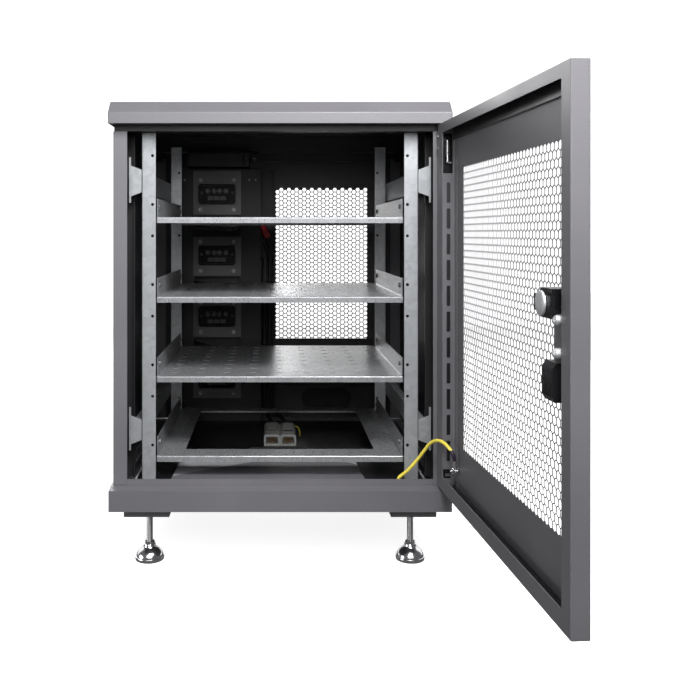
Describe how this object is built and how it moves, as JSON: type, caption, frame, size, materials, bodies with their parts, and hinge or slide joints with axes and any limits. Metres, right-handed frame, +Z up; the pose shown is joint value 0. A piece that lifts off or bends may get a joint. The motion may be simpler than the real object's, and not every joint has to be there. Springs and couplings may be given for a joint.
{
  "type": "battery cabinet",
  "caption": "Floor-standing battery rack cabinet with open shelves, rear battery sockets, a perforated swing door with a swing-handle lock, and levelling feet.",
  "frame": {"origin": "centre of the front left levelling foot's sole, on the floor", "axes": "+X to the right seen from the front, +Y from the front towards the back, +Z up"},
  "size_m": [0.6597, 1.1745, 0.839],
  "materials": {
    "cabinet_paint": "grey powder coat, fine texture, satin",
    "interior_paint": "dark grey powder coat, matt",
    "galvanised_steel": "galvanised, faint spangle",
    "chrome": "bright plated",
    "black_plastic": "moulded, satin",
    "black_rubber": "matt",
    "red_cable": "smooth PVC",
    "yellow_cable": "smooth PVC",
    "grey_plastic": "moulded, satin"
  },
  "bodies": {
    "root": {"base_front_beam": "cabinet_paint", "base_left_beam": "cabinet_paint", "base_rear_beam": "cabinet_paint", "base_right_beam": "cabinet_paint", "cable_entry_grommet": "black_rubber", "connector_column": "interior_paint", "floor_pan": "interior_paint", "front_left_post": "interior_paint", "front_left_rack_rail": "galvanised_steel", "front_right_post": "interior_paint", "front_right_rack_rail": "galvanised_steel", "front_top_beam": "interior_paint", "ground_wire": "yellow_cable", "left_side_panel": "cabinet_paint", "lower_left_side_beam": "galvanised_steel", "lower_right_side_beam": "galvanised_steel", "negative_cable": "black_rubber", "positive_cable": "red_cable", "power_connector_left": "grey_plastic", "power_connector_right": "grey_plastic", "rear_left_rack_rail": "galvanised_steel", "rear_panel": "interior_paint", "rear_right_rack_rail": "galvanised_steel", "rear_top_beam": "interior_paint", "right_side_panel": "cabinet_paint", "shelf_1": "galvanised_steel", "shelf_2": "galvanised_steel", "shelf_3": "galvanised_steel", "shelf_4": "galvanised_steel", "socket_housing_1": "black_plastic", "socket_housing_2": "black_plastic", "socket_housing_3": "black_plastic", "socket_housing_4": "black_plastic", "socket_plate_1": "interior_paint", "socket_plate_2": "interior_paint", "socket_plate_3": "interior_paint", "socket_plate_4": "interior_paint", "terminal_cover": "black_plastic", "top_cap": "cabinet_paint", "upper_left_side_beam": "galvanised_steel", "upper_right_side_beam": "galvanised_steel"},
    "door": {"door_panel": "cabinet_paint", "door_hinge_stile": "cabinet_paint", "lock_guide": "black_plastic", "lock_case": "black_plastic", "handle_plate": "black_plastic"},
    "hinge_pin_top": {"hinge_pin_top": "chrome"},
    "hinge_pin_bottom": {"hinge_pin_bottom": "chrome"},
    "lock_bolt": {"lock_bolt": "black_plastic"},
    "lock_spindle": {"lock_spindle": "chrome"},
    "swing_handle": {"swing_handle": "black_plastic"},
    "lock_cylinder": {"lock_cylinder": "chrome"},
    "front_left_foot": {"front_left_foot_pad": "chrome"},
    "front_left_stud": {"front_left_foot_stud": "galvanised_steel"},
    "front_right_foot": {"front_right_foot_pad": "chrome"},
    "front_right_stud": {"front_right_foot_stud": "galvanised_steel"},
    "rear_left_foot": {"rear_left_foot_pad": "chrome"},
    "rear_left_stud": {"rear_left_foot_stud": "galvanised_steel"},
    "rear_right_foot": {"rear_right_foot_pad": "chrome"},
    "rear_right_stud": {"rear_right_foot_stud": "galvanised_steel"}
  },
  "joints": [
    {"name": "door_swing", "type": "hinge", "parent": "root", "child": "door", "pos_m": [0.531, -0.061, 0.474], "axis": [0, 0, 1], "range_deg": [-93.3, 20], "deforming": ["ground_wire"]},
    {"name": "top_pin_pull", "type": "slide", "parent": "door", "child": "hinge_pin_top", "axis": [0, 0, -1], "range_m": [0, 0.012], "stiffness_N_per_m": 500, "springref_m": -0.006},
    {"name": "bottom_pin_pull", "type": "slide", "parent": "door", "child": "hinge_pin_bottom", "axis": [0, 0, 1], "range_m": [0, 0.012], "stiffness_N_per_m": 500, "springref_m": -0.006},
    {"name": "spindle_turn", "type": "hinge", "parent": "door", "child": "lock_spindle", "pos_m": [0.55369, -0.59358, 0.5215], "axis": [-0.9983, -0.0576, 0], "range_deg": [0, 90]},
    {"name": "bolt_slide", "type": "slide", "parent": "door", "child": "lock_bolt", "axis": [0.0576, -0.9983, 0], "range_m": [0, 0.0141]},
    {"name": "handle_lift", "type": "hinge", "parent": "lock_spindle", "child": "swing_handle", "pos_m": [0.58764, -0.59162, 0.537], "axis": [0.0576, -0.9983, 0], "range_deg": [0, 60]},
    {"name": "cylinder_turn", "type": "hinge", "parent": "door", "child": "lock_cylinder", "pos_m": [0.56867, -0.59271, 0.427], "axis": [-0.9983, -0.0576, 0], "range_deg": [0, 90]},
    {"name": "front_left_foot_screw", "type": "slide", "parent": "root", "child": "front_left_foot", "axis": [0, 0, -1], "range_m": [-0.018, 0.025]},
    {"name": "front_left_stud_turn", "type": "hinge", "parent": "front_left_foot", "child": "front_left_stud", "pos_m": [0, 0, 0.08], "axis": [0, 0, 1], "range_deg": [-5163, 5163]},
    {"name": "front_right_foot_screw", "type": "slide", "parent": "root", "child": "front_right_foot", "axis": [0, 0, -1], "range_m": [-0.018, 0.025]},
    {"name": "front_right_stud_turn", "type": "hinge", "parent": "front_right_foot", "child": "front_right_stud", "pos_m": [0.482, 0, 0.08], "axis": [0, 0, 1], "range_deg": [-5163, 5163]},
    {"name": "rear_left_foot_screw", "type": "slide", "parent": "root", "child": "rear_left_foot", "axis": [0, 0, -1], "range_m": [-0.018, 0.025]},
    {"name": "rear_left_stud_turn", "type": "hinge", "parent": "rear_left_foot", "child": "rear_left_stud", "pos_m": [0, 0.454, 0.08], "axis": [0, 0, 1], "range_deg": [-5163, 5163]},
    {"name": "rear_right_foot_screw", "type": "slide", "parent": "root", "child": "rear_right_foot", "axis": [0, 0, -1], "range_m": [-0.018, 0.025]},
    {"name": "rear_right_stud_turn", "type": "hinge", "parent": "rear_right_foot", "child": "rear_right_stud", "pos_m": [0.482, 0.454, 0.08], "axis": [0, 0, 1], "range_deg": [-5163, 5163]}
  ],
  "couplings": [
    {"joint": "bolt_slide", "follows": "spindle_turn", "m_per_rad": 0.0089},
    {"joint": "front_left_stud_turn", "follows": "front_left_foot_screw", "rad_per_m": 3590.4},
    {"joint": "front_right_stud_turn", "follows": "front_right_foot_screw", "rad_per_m": 3590.4},
    {"joint": "rear_left_stud_turn", "follows": "rear_left_foot_screw", "rad_per_m": 3590.4},
    {"joint": "rear_right_stud_turn", "follows": "rear_right_foot_screw", "rad_per_m": 3590.4}
  ]
}
